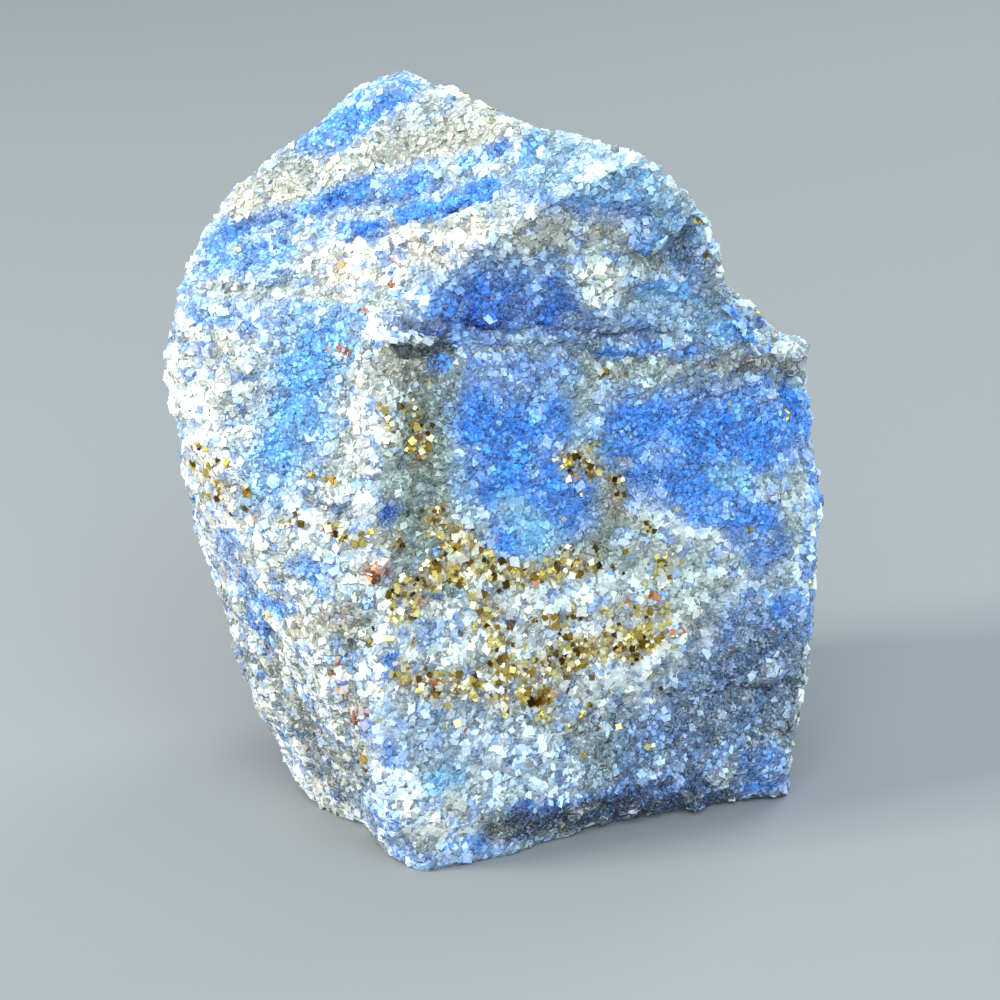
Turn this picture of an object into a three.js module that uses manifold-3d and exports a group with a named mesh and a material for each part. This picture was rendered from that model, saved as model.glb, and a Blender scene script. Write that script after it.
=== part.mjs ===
// A raw lump of lapis lazuli, about 58 mm tall: one piece of rock, broken on every side and not polished.
// It stands on a small broken foot, leans out to its left and has a stepped right shoulder.
// Sizes are in millimetres, +Z is up, and the front of the stone faces -Y.
import * as THREE from 'three';
import Module from 'manifold-3d';
import { mergeVertices } from 'three/addons/utils/BufferGeometryUtils.js';
import { ImprovedNoise } from 'three/addons/math/ImprovedNoise.js';

// The heart is a point inside the stone, 28 mm above the ground. Every fracture face is measured from it.
const HEART = new THREE.Vector3(0, 4, 28);
const GROUND_BLOCK = { width: 100, depth: 20 }; // larger than the stone, it cuts the foot flat at z = 0

// A fracture face looks towards its azimuth, in degrees from the front (-Y) round to the right (+X),
// and is tilted up from level. Its reach is the distance from the heart to the face.
const face = (azimuth, tilt, reach) => ({ azimuth, tilt, reach });

// The stone is three blocks grown into one. They share these faces.
const SHARED_FACES = [
  face(-25, 42, 25.9), // left shoulder, sloping up to the top
  face(-21, 8, 22.4), // upper left
  face(-52, -11, 24.8), // lower left
  face(-55, -25, 27), // lower left, above the foot
  face(-103, -4, 21.8), // left edge
  face(-97, -17, 22.9), // left edge, leaning out
  face(-103, 19, 24.3), // left edge, above
  face(-122, 48, 26.3), // back of the top left
  face(0, -90, 28.6), // foot
  face(97, 1, 23.8), // right side
  face(95, -6, 25.5), // right side, below
  face(150, 10, 15.6), // back right
  face(-160, 5, 15.3), // back left
  face(-170, -40, 23), // back of the foot
];
const BODY_FACES = [
  face(21, 6, 15.65), // front, the widest face
  face(25, -3.5, 18.7), // lower right of the front
  face(129, 54, 19.2), // back of the top
  face(104, 22, 19.6), // right side, above
];
const BROW_FACES = [
  face(13, -12.5, 11.1), // underside, overhanging the front
  face(138, 57, 20.4), // back
  face(122, 47, 20.9), // right end, above
  face(104, 21, 20), // right end
];
const SHOULDER_FACES = [
  face(25, 3, 15.1), // front
  face(122, 49, 18.9), // top
];

const EDGE_SHARPNESS = 55; // exponent of the blend where two faces meet: a higher one gives a sharper edge
const JOIN_SHARPNESS = 60; // the same where two blocks meet

// Gentle swells and hollows left by the break, different on every face.
const SWELLS = [
  { size: 13, height: 0.9 },
  { size: 5.5, height: 0.5 },
];

// The rock split along upright beds that run from left to right, and the splits show as low ledges on
// the flanks, the back and the top.
const BED_NORMAL = new THREE.Vector3(0.12, 0.98, -0.13).normalize();
const BED_THICKNESS = 5.2;
const BED_WAVER = { size: 14, height: 2.2 };
const LEDGE_HEIGHT = 1.3;
const LEDGE_PATCH = 11; // size of the patches in which the ledges come and go

// Knobs, ridges, pits and grooves. Each follows the line between two points near the surface.
// A height below zero makes a pit or a groove.
const relief = (from, to, width, height) => ({ line: new THREE.Line3(from, to), width, height });
const at = (x, y, z) => new THREE.Vector3(x, y, z);
const RELIEFS = [
  relief(at(7.4, -9.7, 46), at(7.8, -9.7, 45.4), 2.3, 1.3), // knob under the brow
  relief(at(-6.6, -15, 41.7), at(-3.6, -13.6, 42.4), 1.9, -1.5), // notch under the nose
  relief(at(-8.6, -15, 43.6), at(-8, -15, 43.2), 1.8, 0.7), // nose
  relief(at(-12, -10.1, 47.8), at(1.8, -11.1, 52.4), 1.7, 0.7), // band across the left shoulder
  relief(at(-18.1, -11, 29.1), at(-9, -15.5, 28.6), 1.8, -0.6), // crease of the left side
  relief(at(14.1, -8.7, 48), at(12.4, -9.4, 45), 2.6, -1), // hollow beside the knob
  relief(at(17.6, -9, 43.6), at(18.2, 0, 44), 1.8, -1.1), // first step of the right shoulder
  relief(at(21.6, -8, 39.3), at(22, 0, 39.6), 1.6, -0.9), // second step
  relief(at(23.6, -5, 34), at(23.6, 3, 34.5), 1.7, -0.7), // third step
  relief(at(-12.6, -10.6, 1.6), at(-11, -10.4, 0), 2, -1.2), // notch above the left of the foot
  relief(at(6, -14.5, -1.5), at(21, -7.5, -1.5), 3, -3.2), // undercut beside the foot
  relief(at(2, -2, 56), at(2.4, 4, 56.4), 1.6, -0.8), // nick in the top edge
  relief(at(-5, 1, 58.5), at(-3, 4, 57.5), 2.4, -1.5), // step beside the top
  relief(at(-9.6, 0, 57), at(-9, 3, 57), 2.6, 0.9), // top
  relief(at(-20.5, 0, 50.5), at(-20.5, 6, 50.5), 1.8, -1), // step in the left edge
  relief(at(9, 18, 37), at(12, 16, 30), 6, -1.4), // shallow scar on the back right
  relief(at(2, 19, 15), at(9, 18, 9), 4.5, -1.1), // shallow scar low on the back
  relief(at(-12, 14, 41), at(-2.5, 19.5, 20), 2, 1), // rib down the back left
  relief(at(-8.6, 15.5, 43), at(0.8, 19.5, 23), 2, -1.1), // groove beside the rib
  relief(at(7, 12.5, 46), at(13, 8.5, 45), 4.5, -1.2), // scar on the back of the top
  relief(at(24, 3, 23), at(24, 9, 15), 3.4, 1), // lump low on the right side
  relief(at(24, 9, 33), at(24, 5, 30), 3, -0.9), // hollow above it
  relief(at(-22.5, 6, 41), at(-19.5, 11, 22), 1.9, -0.9), // groove down the left side
  relief(at(-19, 14, 36), at(-20, 13, 32), 3, 0.9), // lump behind it
];

const EVENING_ROUNDS = 12; // passes that spread the vertices evenly over the surface
const SURFACE_DETAIL = 19; // extra cuts along each side of the starting icosahedron's faces
const RIDGE_REACH = 0.026; // a vertex closer to a ridge than this share of its radius is moved onto it

const STONE_BLUE = 0x5b7fb8;

function faceNormal({ azimuth, tilt }) {
  const a = THREE.MathUtils.degToRad(azimuth);
  const t = THREE.MathUtils.degToRad(tilt);
  return new THREE.Vector3(Math.sin(a) * Math.cos(t), -Math.cos(a) * Math.cos(t), Math.sin(t));
}

const withNormals = (faces) => faces.map((f) => ({ ...f, normal: faceNormal(f) }));
const blocks = [BODY_FACES, BROW_FACES, SHOULDER_FACES].map((own) =>
  withNormals([...SHARED_FACES, ...own]),
);

const perlin = new ImprovedNoise();
const noiseAt = ({ x, y, z }, size, start) => perlin.noise(x / size + start, y / size, z / size);

// How much further out a face lies along a unit direction, because of the swells of the break.
function swellHeight({ azimuth, reach }, direction) {
  let height = 0;
  for (const swell of SWELLS) height += swell.height * noiseAt(direction, swell.size / reach, azimuth);
  return height;
}

// Each face's share of the way out along a direction: the face with the largest one is met first.
function closeness(faces, direction) {
  return faces.map((f) => {
    const facing = f.normal.dot(direction);
    return facing > 0 ? facing / (f.reach + swellHeight(f, direction)) : 0;
  });
}

// Distance from the heart to the surface of a block bounded by faces, along a unit direction.
function blockRadius(faces, direction) {
  let sum = 0;
  for (const share of closeness(faces, direction)) sum += share ** EDGE_SHARPNESS;
  return sum ** (-1 / EDGE_SHARPNESS);
}

// Low ledges where the surface crosses the beds. They fade out where the surface runs along a bed.
function ledgeHeight(point, direction) {
  const waver = BED_WAVER.height * noiseAt(point, BED_WAVER.size, 7);
  const beds = (point.dot(BED_NORMAL) + waver) / BED_THICKNESS;
  const rise = beds - Math.floor(beds);
  const strength = Math.max(0, noiseAt(point, LEDGE_PATCH, 40) + 0.35);
  const across = 1 - Math.abs(direction.dot(BED_NORMAL));
  return LEDGE_HEIGHT * strength * across * (rise - 0.5);
}

function reliefHeight(point) {
  const nearest = new THREE.Vector3();
  let height = 0;
  for (const { line, width, height: full } of RELIEFS) {
    line.closestPointToPoint(point, true, nearest);
    height += full * Math.exp(-((point.distanceTo(nearest) / width) ** 2));
  }
  return height;
}

// The surface point of the stone that lies from the heart in this direction.
function surfacePoint(direction) {
  const unit = direction.clone().normalize();
  let sum = 0;
  for (const block of blocks) sum += blockRadius(block, unit) ** JOIN_SHARPNESS;
  const point = unit.clone().multiplyScalar(sum ** (1 / JOIN_SHARPNESS)).add(HEART);
  return point.addScaledVector(unit, ledgeHeight(point, unit) + reliefHeight(point));
}

// Turns a direction that passes close to the ridge between two faces so that it meets the ridge.
function turnToRidge(direction) {
  const unit = direction.clone().normalize();
  const radii = blocks.map((block) => blockRadius(block, unit));
  const block = blocks[radii.indexOf(Math.max(...radii))];
  const shares = closeness(block, unit);
  const [first, second] = shares.map((share, i) => i).sort((i, j) => shares[j] - shares[i]);
  const gap = shares[first] - shares[second];
  const slope = block[second].normal.clone().divideScalar(block[second].reach);
  slope.addScaledVector(block[first].normal, -1 / block[first].reach);
  const turn = gap / slope.length();
  return turn < RIDGE_REACH ? unit.addScaledVector(slope.normalize(), turn) : unit;
}

// Neighbours of each vertex of an indexed geometry.
function vertexNeighbours(geometry) {
  const neighbours = Array.from({ length: geometry.attributes.position.count }, () => new Set());
  const index = geometry.index.array;
  for (let i = 0; i < index.length; i += 3) {
    const [a, b, c] = [index[i], index[i + 1], index[i + 2]];
    neighbours[a].add(b).add(c);
    neighbours[b].add(a).add(c);
    neighbours[c].add(a).add(b);
  }
  return neighbours;
}

// Drops everything but the vertices and faces, so that shared vertices can be merged.
function bareGeometry(source) {
  source.deleteAttribute('normal');
  source.deleteAttribute('uv');
  return mergeVertices(source);
}

function lumpGeometry() {
  const geometry = bareGeometry(new THREE.IcosahedronGeometry(1, SURFACE_DETAIL));
  const position = geometry.attributes.position;
  let points = Array.from({ length: position.count }, (_, i) =>
    surfacePoint(new THREE.Vector3().fromBufferAttribute(position, i)),
  );
  const neighbours = vertexNeighbours(geometry);
  for (let round = 0; round < EVENING_ROUNDS; round++) {
    points = neighbours.map((near) => {
      const middle = new THREE.Vector3();
      for (const j of near) middle.add(points[j]);
      return surfacePoint(middle.divideScalar(near.size).sub(HEART));
    });
  }
  points.forEach((p, i) => {
    const onRidge = surfacePoint(turnToRidge(p.sub(HEART)));
    position.setXYZ(i, onRidge.x, onRidge.y, onRidge.z);
  });
  return geometry;
}

const wasm = await Module();
wasm.setup();

function toSolid(geometry) {
  const vertProperties = new Float32Array(geometry.attributes.position.array);
  const triVerts = new Uint32Array(geometry.index.array);
  return new wasm.Manifold(new wasm.Mesh({ numProp: 3, vertProperties, triVerts }));
}

function toGeometry(solid) {
  const { vertProperties, triVerts } = solid.getMesh();
  const geometry = new THREE.BufferGeometry();
  geometry.setAttribute('position', new THREE.BufferAttribute(vertProperties, 3));
  geometry.setIndex(new THREE.BufferAttribute(triVerts, 1));
  return geometry;
}

// The lump with its foot cut flat on the ground, moved so that the origin is under the middle of its box.
function stoneGeometry() {
  const { width, depth } = GROUND_BLOCK;
  const ground = new THREE.BoxGeometry(width, width, depth).translate(0, 0, -depth / 2);
  const geometry = toGeometry(toSolid(lumpGeometry()).subtract(toSolid(bareGeometry(ground))));
  geometry.computeBoundingBox();
  const middle = geometry.boundingBox.getCenter(new THREE.Vector3());
  return geometry.translate(-middle.x, -middle.y, -geometry.boundingBox.min.z);
}

const stone = new THREE.Mesh(
  stoneGeometry(),
  new THREE.MeshStandardMaterial({ color: STONE_BLUE, roughness: 0.8, metalness: 0 }),
);
stone.name = 'lapis_lazuli';

const root = new THREE.Group();
root.add(stone);
export default root;
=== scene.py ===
# %% [markdown]
# # A raw lump of lapis lazuli
# Raw lapis lazuli isn't one mineral but a rock. Blue lazurite, white and grey calcite and specks of
# gold pyrite have grown together as sugary grains about half a millimetre across. Nothing on this
# lump is polished: each side is a fresh break, so light catches on thousands of small crystal faces.
#
# The CAD frame gives the lump's size and its large fracture faces. This script adds what makes it
# rock: the finer ledges and pits, the patches of colour, and the grains as real crystals.

# %% Load the frame
import math

import bmesh
import bpy
import numpy as np
from mathutils import Matrix, Vector, noise


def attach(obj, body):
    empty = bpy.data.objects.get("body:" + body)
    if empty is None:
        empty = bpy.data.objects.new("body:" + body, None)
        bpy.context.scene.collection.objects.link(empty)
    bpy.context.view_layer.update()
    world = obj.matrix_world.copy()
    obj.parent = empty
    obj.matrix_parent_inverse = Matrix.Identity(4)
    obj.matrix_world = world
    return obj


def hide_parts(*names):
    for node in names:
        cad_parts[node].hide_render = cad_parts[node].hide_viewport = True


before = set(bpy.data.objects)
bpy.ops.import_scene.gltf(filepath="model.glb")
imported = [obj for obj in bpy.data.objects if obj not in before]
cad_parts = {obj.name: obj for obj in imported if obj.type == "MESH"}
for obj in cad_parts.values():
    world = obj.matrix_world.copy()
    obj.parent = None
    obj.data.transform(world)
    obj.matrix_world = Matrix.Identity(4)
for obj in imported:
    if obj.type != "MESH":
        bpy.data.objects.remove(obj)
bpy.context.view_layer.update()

scene = bpy.context.scene

# %% [markdown]
# ## Units
# Blender counts in metres, but a stone of this size is easier to think of in millimetres. So each
# length is written in millimetres and turned to metres where a mesh, a lamp or the camera gets it.

# %% Millimetres
MM = 0.001


def metres(*lengths):
    """Millimetres to a Blender vector in metres."""
    return Vector(lengths) * MM


# %% [markdown]
# ## The camera
# The photo looks down on the stone by 20 degrees, from close by. A long lens would flatten the
# corner that points at the viewer, and a wide one would swell it, so the distance matters as much
# as the angle. 250 mm away with a 120 mm lens gives the photo's perspective.
#
# The same numbers also tell where any point of the stone lies in the photo. The colour patches are
# placed with that further down, so the camera comes first.

# %% Camera
PHOTO_SIZE = 1000
PITCH = math.radians(20)
DISTANCE = 250.0
LENS, SENSOR = 120.0, 36.0
AIM = np.array([-0.056, -15.115, 29.0])

RIGHT = np.array([1.0, 0.0, 0.0])
FORWARD = np.array([0.0, math.cos(PITCH), -math.sin(PITCH)])
UP = np.array([0.0, math.sin(PITCH), math.cos(PITCH)])
EYE = AIM - DISTANCE * FORWARD

lens = bpy.data.cameras.new("photo_lens")
lens.lens, lens.sensor_width = LENS, SENSOR
lens.clip_start, lens.clip_end = 0.01, 20.0
camera = bpy.data.objects.new("camera", lens)
camera.location = metres(*EYE)
camera.rotation_euler = (math.pi / 2 - PITCH, 0, 0)
scene.collection.objects.link(camera)
scene.camera = camera


def to_photo(points):
    """Where points of the part, in mm, lie in the photo, in pixels."""
    away = points - EYE
    scale = PHOTO_SIZE * LENS / SENSOR / (away @ FORWARD)
    middle = PHOTO_SIZE / 2
    return np.stack([middle + scale * (away @ RIGHT), middle - scale * (away @ UP)], axis=1)


print("the aim lies at pixel", to_photo(AIM[None])[0].round())

# %% [markdown]
# ## Floor and light
# In the photo, light falls from the upper left: the sloping shoulder and the left side are nearly
# twice as bright as the front, which only the open sky lights, a little bluer. Three square lamps
# and an even, slightly cool surround give the same: a warm key at the upper left, a wide cool lamp
# in front that stands for the sky, and a weak one behind that draws the right rim. A lamp is
# softened by its size, not by its strength.

# %% Floor and lamps
SURROUND_COLOUR, SURROUND_STRENGTH = (0.76, 0.91, 1.0), 0.80
LIT_POINT = (0, 0, 28)


def linear(hex_code):
    """An sRGB colour such as "#2f62d8" as linear red, green, blue and alpha."""
    parts = [int(hex_code[i:i + 2], 16) / 255 for i in (1, 3, 5)]
    return tuple(c / 12.92 if c <= 0.04045 else ((c + 0.055) / 1.055) ** 2.4 for c in parts) + (1.0,)


def node(tree, kind, inputs=None, **settings):
    """Adds a shader node. An input's value is a number, a colour or a socket to link."""
    made = tree.nodes.new("ShaderNode" + kind)
    for name, value in settings.items():
        setattr(made, name, value)
    for key, value in (inputs or {}).items():
        if isinstance(value, bpy.types.NodeSocket):
            tree.links.new(value, made.inputs[key])
        else:
            made.inputs[key].default_value = value
    return made


def lamp(name, place, size, power, tint):
    """A square soft lamp that points at the stone, with its place and size in mm, its power in W."""
    light = bpy.data.lights.new(name, "AREA")
    light.size, light.energy, light.color = size * MM, power, tint
    lamp_object = bpy.data.objects.new(name, light)
    lamp_object.location = metres(*place)
    towards = metres(*LIT_POINT) - lamp_object.location
    lamp_object.rotation_euler = towards.to_track_quat("-Z", "Y").to_euler()
    scene.collection.objects.link(lamp_object)


lamp("key_upper_left", (-480, -140, 330), 130, 3.4, (1.0, 0.91, 0.77))
lamp("sky_in_front", (20, -380, 350), 360, 2.2, (0.80, 0.95, 1.0))
lamp("rim_behind_right", (260, 300, 320), 260, 0.9, (0.95, 0.98, 1.0))

world = bpy.data.worlds.new("soft_surround")
world.use_nodes = True
surround = world.node_tree.nodes["Background"]
surround.inputs["Color"].default_value = (*SURROUND_COLOUR, 1.0)
surround.inputs["Strength"].default_value = SURROUND_STRENGTH
scene.world = world
scene.view_settings.view_transform = "Standard"

FLOOR_SIZE = 3000
sheet = bmesh.new()
bmesh.ops.create_grid(sheet, x_segments=1, y_segments=1, size=FLOOR_SIZE / 2 * MM)
floor_mesh = bpy.data.meshes.new("floor")
sheet.to_mesh(floor_mesh)
sheet.free()
floor = bpy.data.objects.new("floor", floor_mesh)
scene.collection.objects.link(floor)
paper = bpy.data.materials.new("matt_grey_paper")
paper.use_nodes = True
paper_shader = paper.node_tree.nodes["Principled BSDF"]
paper_shader.inputs["Base Color"].default_value = linear("#8e9092")
paper_shader.inputs["Roughness"].default_value = 0.9
floor_mesh.materials.append(paper)

# %% [markdown]
# ## The broken skin
# The CAD solid has the large faces with edges of about 1.5 mm. Broken rock is finer than that. It
# could be sculpted by hand, or a displacement texture could move it, but that texture would be lost
# when the mesh leaves Blender. Here the mesh itself is divided and its vertices are moved in code, so
# every pit is in the geometry.
#
# The copy's loose triangles are merged first. Edges where two fracture faces meet get a crease, so
# that dividing rounds them only a little.

# %% Divide the CAD solid
CREASE_ANGLE = math.radians(24)
CREASE_STRENGTH = 0.55
MERGE_DISTANCE = 0.0005

cad_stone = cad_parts["lapis_lazuli"]
shape = bmesh.new()
shape.from_mesh(cad_stone.data)
bmesh.ops.remove_doubles(shape, verts=shape.verts, dist=MERGE_DISTANCE * MM)
crease = shape.edges.layers.float.new("crease_edge")
for edge in shape.edges:
    if edge.calc_face_angle(0.0) > CREASE_ANGLE:
        edge[crease] = CREASE_STRENGTH
coarse = bpy.data.meshes.new("coarse_stone")
shape.to_mesh(coarse)
shape.free()

stone = bpy.data.objects.new("broken_skin", coarse)
scene.collection.objects.link(stone)
divide = stone.modifiers.new("divide", "SUBSURF")
divide.levels = divide.render_levels = 2
evaluated = stone.evaluated_get(bpy.context.evaluated_depsgraph_get())
skin = bpy.data.meshes.new_from_object(evaluated)
skin.name = "broken_skin"
stone.modifiers.clear()
stone.data = skin
print("skin:", len(skin.vertices), "vertices,", len(skin.polygons), "faces")


# %% [markdown]
# ## Noise in millimetres
# Most of what nature does to a stone can be drawn with noise of the right size. The helpers below
# give one number for each point: `cloud` swells softly, `crackle` has sharp valleys like a hackly
# break. Lapis grew in beds, so a third helper squeezes space across the beds, and noise read in
# that space comes out as streaks.

# %% Noise helpers
BED_NORMAL = np.array([0.12, 0.98, -0.13])
BED_NORMAL /= np.linalg.norm(BED_NORMAL)


def cloud(points, size, seed, octaves=3):
    """Smooth noise from about -1 to 1, with swells of the given size in mm."""
    shift = Vector((seed * 17.3, seed * 5.1, seed * 9.7))
    places = points / size
    return np.array([noise.fractal(Vector(p) + shift, 1.0, 2.0, octaves) for p in places.tolist()])


def crackle(points, size, seed):
    """Ridged noise from about 0 to 1: plates of the given size in mm with sharp steps between."""
    shift = Vector((seed * 3.3, seed * 11.9, seed * 7.7))
    places = points / size
    near = np.array([noise.voronoi(Vector(p) + shift)[0][:2] for p in places.tolist()])
    return np.clip(near[:, 1] - near[:, 0], 0, 1)


def along_beds(points, squeeze):
    """Space squeezed across the beds, so that noise read in it is drawn out along them."""
    across = points @ BED_NORMAL
    return points + (squeeze - 1) * across[:, None] * BED_NORMAL


def vertex_places(mesh):
    """A mesh's vertices in mm."""
    flat = np.empty(len(mesh.vertices) * 3)
    mesh.vertices.foreach_get("co", flat)
    return flat.reshape(-1, 3) / MM


def vertex_normals(mesh):
    """A mesh's normals, one for each vertex."""
    flat = np.empty(len(mesh.vertices) * 3)
    mesh.vertex_normals.foreach_get("vector", flat)
    return flat.reshape(-1, 3)


# %% [markdown]
# ## Strokes
# The colours and the small ledges of this one stone aren't random: a deep blue patch lies under the
# brow, gold runs across the middle of the front, and grey beds cross the shoulder. They are drawn as
# strokes, as a painter would lay them. Each stroke has a name, half its width in pixels, a strength
# from 0 to 1, and a path through a few pixels of the photo that were read off.
#
# A point of the stone is projected into the photo and takes the strokes that pass over it. Noise
# bends the edges. Parts that face away from the photo take their pattern from noise alone.

# %% Stroke helper
STROKE_WANDER = (9.0, 5.0)
WANDER_SIZES = (3.4, 1.1)
FACING_START, FACING_SOFTNESS = -0.016, 0.16


def wander(points, pixels):
    """Shifts pixels a little by noise that sits on the stone, so that strokes get natural edges."""
    moved = pixels.copy()
    for seed, (reach, size) in enumerate(zip(STROKE_WANDER, WANDER_SIZES)):
        moved[:, 0] += reach * cloud(points, size, 20 + seed, 2)
        moved[:, 1] += reach * cloud(points, size, 30 + seed, 2)
    return moved


def path_distance(pixels, path):
    """Each pixel's distance from a path of straight lines."""
    path = np.array(path, float)
    starts, ends = (path[:-1], path[1:]) if len(path) > 1 else (path, path)
    nearest = np.full(len(pixels), np.inf)
    for start, end in zip(starts, ends):
        line = end - start
        share = np.clip((pixels - start) @ line / max(line @ line, 1e-9), 0, 1)
        nearest = np.minimum(nearest, np.linalg.norm(pixels - start - share[:, None] * line, axis=1))
    return nearest


def strokes_at(pixels, strokes, softness=0.55):
    """How strongly each pixel is covered by the strokes, 0 to 1."""
    most = np.zeros(len(pixels))
    for half_width, strength, path in strokes.values():
        inside = (half_width * (1 + softness) - path_distance(pixels, path)) / (2 * softness * half_width)
        inside = np.clip(inside, 0, 1)
        most = np.maximum(most, strength * inside * inside * (3 - 2 * inside))
    return most


def faces_photo(points, normals):
    """1 where the stone faces the camera, 0 where it faces away, with a soft change between."""
    to_eye = EYE - points
    to_eye /= np.linalg.norm(to_eye, axis=1)[:, None]
    facing = np.einsum("ij,ij->i", normals, to_eye)
    return np.clip((facing - FACING_START) / FACING_SOFTNESS, 0, 1)


# %% [markdown]
# ## Ledges and pits
# Five things move the skin along its normals: beds that break off in steps under 2 mm thick, hackly
# plates, small chips, fine roughness of a grain's size, and the ledges that the photo shows one by
# one. The foot stays flat, because the stone stands on it.

# %% Move the skin
BED_BEND, BED_BEND_SIZE = 1.1, 9.0
STEP_THICKNESS, STEP_HEIGHT, STEP_PATCH_SIZE = 1.7, 0.34, 7.0
BREAK_START, BREAK_LENGTH = 0.62, 0.30
PLATE_SIZE, PLATE_DEPTH, PLATE_STRETCH = 3.4, 0.65, 1.5
CHIP_SIZE, CHIP_DEPTH = 1.3, 0.32
CRACKLE_MIDDLE = 0.35
ROUGHNESS, ROUGHNESS_SIZE = 0.07, 0.6
FOOT_MARGIN = 0.9

# Raised and lowered strokes have their height in mm in place of a strength.
RAISED = {
    "lip of the upper ledge": (6, 0.60, [(345, 249), (385, 237), (430, 230), (470, 212)]),
    "lip under the nose": (5, 0.70, [(388, 341), (424, 340)]),
    "knob on the brow": (20, 0.80, [(602, 274), (600, 303)]),
    "navy lens": (9, 0.35, [(400, 325), (438, 324)]),
    "shoulder corner": (9, 0.60, [(758, 345), (800, 350)]),
    "lip of the lower right step": (6, 0.60, [(690, 802), (785, 800)]),
    "white spot beside the crease": (13, 0.30, [(365, 505)]),
    "rib down the front edge": (9, 0.55, [(380, 560), (386, 640), (376, 700), (372, 760), (392, 830)]),
    "brow edge": (8, 0.50, [(455, 258), (520, 222), (560, 190)]),
    "rim of the right side": (7, 0.35, [(804, 400), (812, 460), (812, 560)]),
}
LOWERED = {
    "shadow over the upper ledge": (6, 0.75, [(350, 239), (388, 227), (432, 219), (468, 203)]),
    "notch under the nose": (8, 1.10, [(402, 352), (448, 347)]),
    "crevice beside the dome": (7, 0.90, [(697, 224), (676, 245), (655, 266)]),
    "crease of the left side": (8, 0.80, [(308, 497), (345, 513)]),
    "line over the lower right step": (6, 0.60, [(650, 789), (702, 785)]),
    "edge of the right facet": (9, 0.55, [(700, 660), (655, 690), (600, 730)]),
    "hollow above the right shoulder": (12, 0.45, [(700, 322), (745, 328)]),
    "shadow under the shoulder corner": (8, 0.60, [(742, 372), (798, 386)]),
    "olive column": (16, 0.30, [(425, 385), (420, 450), (420, 520)]),
    "under the brow": (9, 0.50, [(462, 352), (560, 352), (640, 372)]),
    "bed line over the brow": (4, 0.45, [(500, 268), (560, 262), (640, 256)]),
    "bed line on the brow": (4, 0.45, [(448, 322), (520, 330), (600, 336), (690, 338)]),
    "bed line on the shoulder": (4, 0.40, [(240, 226), (330, 205), (410, 196), (480, 172)]),
    "bed line below the shoulder": (4, 0.35, [(190, 296), (280, 278), (340, 272)]),
    "lower front hollow": (11, 0.45, [(560, 740), (620, 715)]),
    "right lower line": (5, 0.50, [(668, 702), (740, 690), (800, 690)]),
    "right lower line, second": (4, 0.40, [(640, 762), (720, 742), (795, 735)]),
    "left of the front rib": (8, 0.50, [(352, 650), (350, 720), (360, 790)]),
    "low left chips": (12, 0.40, [(262, 640), (292, 700), (318, 770)]),
}

places, normals = vertex_places(skin), vertex_normals(skin)
pixels = wander(places, to_photo(places))
in_view = faces_photo(places, normals)

bed_height = (places @ BED_NORMAL + BED_BEND * cloud(places, BED_BEND_SIZE, 3)) / STEP_THICKNESS
bed_rise = bed_height - np.floor(bed_height)
bed_step = np.clip((bed_rise - BREAK_START) / BREAK_LENGTH, 0, 1) - bed_rise
crosses_beds = 1 - np.abs(normals @ BED_NORMAL)
patchy = np.clip(0.7 + cloud(places, STEP_PATCH_SIZE, 4), 0, 1.4)
stepped = STEP_HEIGHT * bed_step * crosses_beds * patchy

plates = PLATE_DEPTH * (crackle(along_beds(places, PLATE_STRETCH), PLATE_SIZE, 5) - CRACKLE_MIDDLE)
chips = CHIP_DEPTH * (crackle(places, CHIP_SIZE, 6) - CRACKLE_MIDDLE)
rough = ROUGHNESS * cloud(places, ROUGHNESS_SIZE, 7, 2)
drawn = in_view * (strokes_at(pixels, RAISED) - strokes_at(pixels, LOWERED))

above_foot = np.clip(places[:, 2] / FOOT_MARGIN, 0, 1)
moved = places + normals * ((stepped + plates + chips + rough + drawn) * above_foot)[:, None]
moved[:, 2] = np.maximum(moved[:, 2], 0)
skin.vertices.foreach_set("co", (moved * MM).ravel())
skin.update()
print("skin moved by up to", np.abs(moved - places).max().round(2), "mm")
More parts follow.
